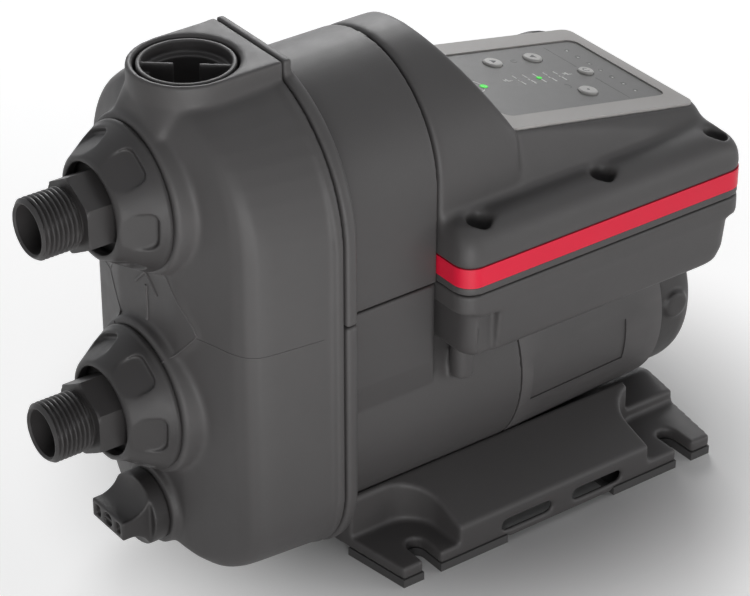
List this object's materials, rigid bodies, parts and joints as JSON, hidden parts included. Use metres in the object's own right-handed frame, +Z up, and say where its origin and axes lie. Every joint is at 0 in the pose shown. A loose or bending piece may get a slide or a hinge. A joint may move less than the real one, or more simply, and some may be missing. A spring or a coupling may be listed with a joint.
{
  "type": "booster pump set",
  "caption": "Compact self-priming booster pump with union ports at the front, a motor below, a tilted control panel on top and a slotted foot base.",
  "frame": {"origin": "middle of the base footprint on the floor", "axes": "+X from the ports towards the motor's rear end along the shaft, +Y across, +Z up"},
  "size_m": [0.4023, 0.193, 0.3007],
  "materials": {
    "housing_plastic": "moulded dark warm grey",
    "fitting_plastic": "moulded dark grey",
    "inner_plastic": "natural moulded",
    "black_plastic": "moulded black",
    "trim_red": "satin red",
    "panel_grey": "light grey",
    "membrane_grey": "printed foil",
    "button_silver": "silver lacquer",
    "light_green": "lit green lens",
    "rubber_black": "black rubber",
    "steel": "bright steel",
    "core_steel": "laminated steel",
    "plate_metal": "cast",
    "copper": "enamelled copper",
    "brass": "turned brass",
    "board": "circuit board"
  },
  "bodies": {
    "pump_set": {"pump_housing": "housing_plastic", "upper_cover": "housing_plastic", "motor_housing": "housing_plastic", "end_bell": "housing_plastic", "control_box": "housing_plastic", "control_lid": "housing_plastic", "base_plate": "housing_plastic", "rear_cap": "fitting_plastic", "outlet_valve_cage": "inner_plastic", "inlet_valve_cage": "inner_plastic", "outlet_valve_seat": "black_plastic", "inlet_valve_seat": "black_plastic", "diffuser": "black_plastic", "cable_gland": "black_plastic", "housing_seal": "rubber_black", "tank_diaphragm": "rubber_black", "foot_pads": "rubber_black", "outlet_valve_spring": "steel", "inlet_valve_spring": "steel", "front_bearing": "steel", "rear_bearing": "steel", "lid_screws": "steel", "base_screws": "steel", "seal_seat": "steel", "pressure_sensor": "steel", "stator_core": "core_steel", "tank_shell": "core_steel", "back_plate": "plate_metal", "stator_windings": "copper", "tank_valve": "brass", "trim_band": "trim_red", "panel_frame": "panel_grey", "panel_membrane": "membrane_grey", "status_light": "light_green", "display_board": "board", "power_board": "board"},
    "rotor": {"motor_shaft": "steel", "rotor_core": "core_steel", "rotor_magnets": "core_steel", "impeller": "inner_plastic", "impeller_nut": "steel", "seal_ring": "steel"},
    "outlet_nut": {"outlet_nut": "fitting_plastic"},
    "inlet_nut": {"inlet_nut": "fitting_plastic"},
    "outlet_nipple": {"outlet_nipple": "fitting_plastic", "outlet_nipple_seal": "rubber_black"},
    "inlet_nipple": {"inlet_nipple": "fitting_plastic", "inlet_nipple_seal": "rubber_black"},
    "outlet_poppet": {"outlet_valve_poppet": "inner_plastic"},
    "inlet_poppet": {"inlet_valve_poppet": "inner_plastic"},
    "priming_seal": {"priming_seal": "rubber_black"},
    "priming_plug": {"priming_plug": "housing_plastic"},
    "drain_seal": {"drain_seal": "rubber_black"},
    "drain_plug": {"drain_plug": "fitting_plastic"},
    "up_button": {"up_button": "button_silver"},
    "down_button": {"down_button": "button_silver"},
    "reset_button": {"reset_button": "button_silver"},
    "power_button": {"power_button": "button_silver"}
  },
  "joints": [
    {"name": "rotor_spin", "type": "hinge", "parent": "pump_set", "child": "rotor", "pos_m": [0, 0, 0.0795], "axis": [1, 0, 0], "continuous": true},
    {"name": "outlet_nut_turn", "type": "hinge", "parent": "pump_set", "child": "outlet_nut", "pos_m": [-0.225, 0, 0.2347], "axis": [-1, 0, 0], "continuous": true},
    {"name": "outlet_nipple_tilt", "type": "hinge", "parent": "pump_set", "child": "outlet_nipple", "pos_m": [-0.22455, 0, 0.2347], "axis": [0, 1, 0], "range_deg": [-5, 5]},
    {"name": "inlet_nut_turn", "type": "hinge", "parent": "pump_set", "child": "inlet_nut", "pos_m": [-0.225, 0, 0.1129], "axis": [-1, 0, 0], "continuous": true},
    {"name": "inlet_nipple_tilt", "type": "hinge", "parent": "pump_set", "child": "inlet_nipple", "pos_m": [-0.22455, 0, 0.1129], "axis": [0, 1, 0], "range_deg": [-5, 5]},
    {"name": "outlet_valve_open", "type": "slide", "parent": "pump_set", "child": "outlet_poppet", "axis": [-1, 0, 0], "range_m": [0, 0.006], "stiffness_N_per_m": 300, "springref_m": -0.002, "deforming": ["outlet_valve_spring"]},
    {"name": "inlet_valve_open", "type": "slide", "parent": "pump_set", "child": "inlet_poppet", "axis": [1, 0, 0], "range_m": [0, 0.006], "stiffness_N_per_m": 300, "springref_m": -0.002, "deforming": ["inlet_valve_spring"]},
    {"name": "priming_plug_lift", "type": "slide", "parent": "pump_set", "child": "priming_seal", "axis": [0, 0, 1], "range_m": [0, 0.012]},
    {"name": "priming_plug_turn", "type": "hinge", "parent": "priming_seal", "child": "priming_plug", "pos_m": [-0.1753, 0, 0.29], "axis": [0, 0, 1], "range_deg": [0, 1080]},
    {"name": "drain_plug_draw", "type": "slide", "parent": "pump_set", "child": "drain_seal", "axis": [-1, 0, 0], "range_m": [0, 0.009]},
    {"name": "drain_plug_turn", "type": "hinge", "parent": "drain_seal", "child": "drain_plug", "pos_m": [-0.215, 0, 0.0432], "axis": [-1, 0, 0], "range_deg": [0, 1080]},
    {"name": "up_button_press", "type": "slide", "parent": "pump_set", "child": "up_button", "axis": [-0.1891, 0, -0.982], "range_m": [0, 0.0008], "stiffness_N_per_m": 800},
    {"name": "down_button_press", "type": "slide", "parent": "pump_set", "child": "down_button", "axis": [-0.1891, 0, -0.982], "range_m": [0, 0.0008], "stiffness_N_per_m": 800},
    {"name": "reset_button_press", "type": "slide", "parent": "pump_set", "child": "reset_button", "axis": [-0.1891, 0, -0.982], "range_m": [0, 0.0008], "stiffness_N_per_m": 800},
    {"name": "power_button_press", "type": "slide", "parent": "pump_set", "child": "power_button", "axis": [-0.1891, 0, -0.982], "range_m": [0, 0.0008], "stiffness_N_per_m": 800}
  ],
  "couplings": [
    {"joint": "priming_plug_lift", "follows": "priming_plug_turn", "m_per_rad": 0.00063662},
    {"joint": "drain_plug_draw", "follows": "drain_plug_turn", "m_per_rad": 0.00047746}
  ]
}
